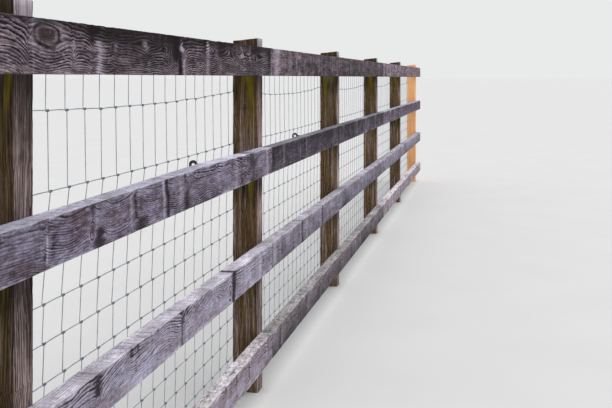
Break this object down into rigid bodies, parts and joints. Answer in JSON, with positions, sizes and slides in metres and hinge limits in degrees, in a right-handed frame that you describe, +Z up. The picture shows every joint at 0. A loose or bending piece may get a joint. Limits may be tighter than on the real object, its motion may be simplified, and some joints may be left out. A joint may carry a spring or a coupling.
{
  "type": "post and rail livestock fence with wire netting",
  "caption": "Weathered sawn post-and-rail fence with hinge-joint wire netting on its far side and ring insulators on offset shanks.",
  "frame": {"origin": "middle of the first post's foot, at ground level", "axes": "+X along the fence, +Y towards the netting side, +Z up"},
  "size_m": [10.875, 0.3425, 1.373],
  "materials": {
    "post_wood": "weathered sawn softwood with algae",
    "new_post_wood": "fresh treated softwood, orange",
    "bottom_rail_wood": "weathered grey softwood",
    "lower_rail_wood": "weathered grey softwood",
    "upper_rail_wood": "weathered grey softwood",
    "top_rail_wood": "dark weathered softwood",
    "galvanised_wire": "dull galvanised wire",
    "shank_steel": "dull galvanised rod",
    "insulator_plastic": "black moulded plastic"
  },
  "bodies": {
    "root": {"post_1": "post_wood", "post_2": "post_wood", "post_3": "post_wood", "post_4": "post_wood", "post_5": "post_wood", "post_6": "post_wood", "post_7": "new_post_wood", "bottom_rail_1": "bottom_rail_wood", "bottom_rail_2": "bottom_rail_wood", "bottom_rail_3": "bottom_rail_wood", "lower_rail_1": "lower_rail_wood", "lower_rail_2": "lower_rail_wood", "lower_rail_3": "lower_rail_wood", "upper_rail_1": "upper_rail_wood", "upper_rail_2": "upper_rail_wood", "upper_rail_3": "upper_rail_wood", "top_rail_1": "top_rail_wood", "top_rail_2": "top_rail_wood", "top_rail_3": "top_rail_wood", "line_wires": "galvanised_wire", "netting_stays_1": "galvanised_wire", "netting_stays_2": "galvanised_wire", "netting_stays_3": "galvanised_wire", "netting_stays_4": "galvanised_wire", "netting_stays_5": "galvanised_wire", "netting_stays_6": "galvanised_wire", "insulator_shank_3": "shank_steel", "insulator_ring_3": "insulator_plastic", "insulator_shank_4": "shank_steel", "insulator_ring_4": "insulator_plastic"}
  },
  "joints": []
}
